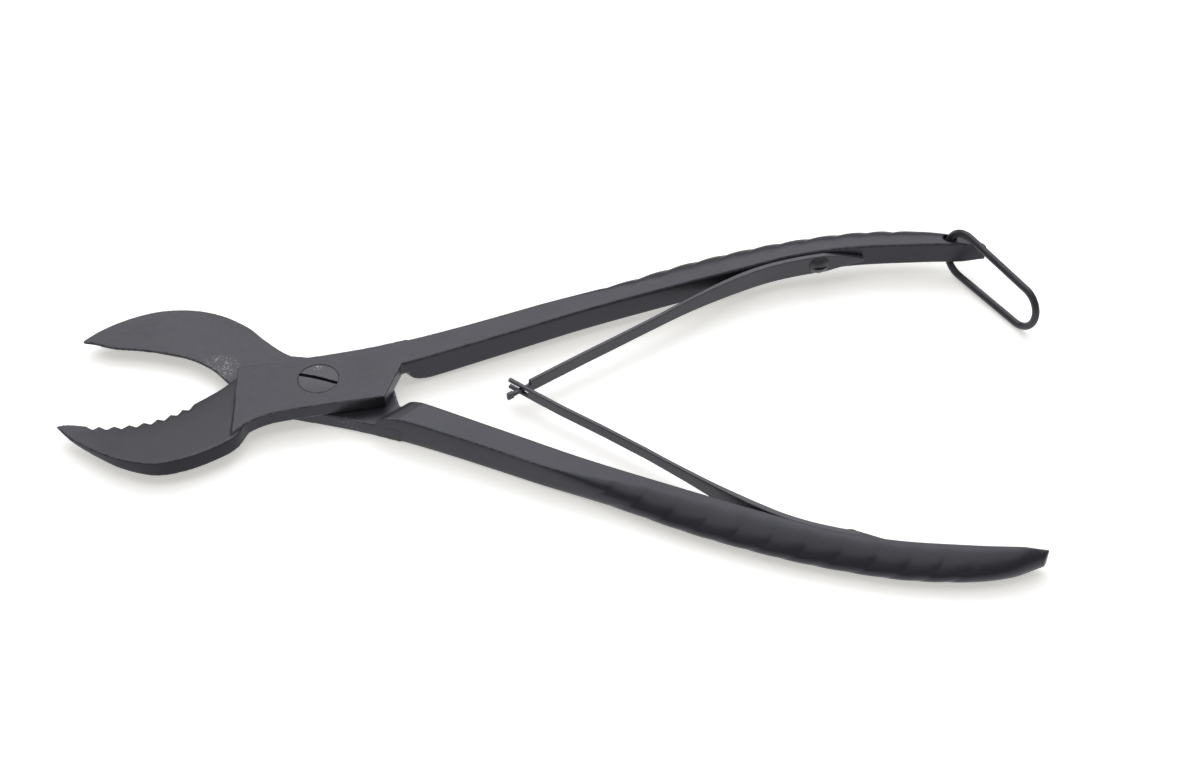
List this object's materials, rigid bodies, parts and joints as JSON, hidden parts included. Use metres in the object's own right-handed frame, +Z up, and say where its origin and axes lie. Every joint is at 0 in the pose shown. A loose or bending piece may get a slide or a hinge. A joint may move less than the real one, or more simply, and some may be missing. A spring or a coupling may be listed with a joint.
{
  "type": "coral cutter",
  "caption": "Spring-opened hand cutter with parrot-bill jaws, one serrated and one smooth, a lap joint, fluted handles and a wire ring that locks them shut.",
  "frame": {"origin": "on the pivot axis, at the flat underside of the lap joint", "axes": "+X along the opened tool from the pivot to the tails of the handles, +Y to the handle that carries the locking ring, +Z up along the pivot axis, out of the screw's slotted head"},
  "size_m": [0.2122, 0.1034, 0.0128],
  "materials": {
    "forged_steel": "forged, matte black oxide worn to steel on the edges",
    "screw_steel": "turned, black oxide, rubbed bright on the head",
    "spring_steel": "rolled strip, satin black oxide",
    "wire_steel": "drawn wire, dark satin"
  },
  "bodies": {
    "smooth_lever": {"smooth_half": "forged_steel", "lower_leaf_spring": "spring_steel", "lower_spring_screw": "screw_steel", "pivot_screw": "screw_steel"},
    "serrated_lever": {"serrated_half": "forged_steel", "upper_leaf_spring": "spring_steel", "upper_spring_screw": "screw_steel"},
    "ring": {"locking_ring": "wire_steel"}
  },
  "joints": [
    {"name": "jaw_pivot", "type": "hinge", "parent": "smooth_lever", "child": "serrated_lever", "pos_m": [0, 0, 0], "axis": [0, 0, -1], "range_deg": [0, 28], "stiffness_Nm_per_rad": 1, "springref_deg": -17.19, "deforming": ["upper_leaf_spring", "lower_leaf_spring"]},
    {"name": "ring_swing", "type": "hinge", "parent": "serrated_lever", "child": "ring", "pos_m": [0.1408, 0.04788, 0.0033], "axis": [0, 0, 1], "range_deg": [-12, 205]}
  ]
}
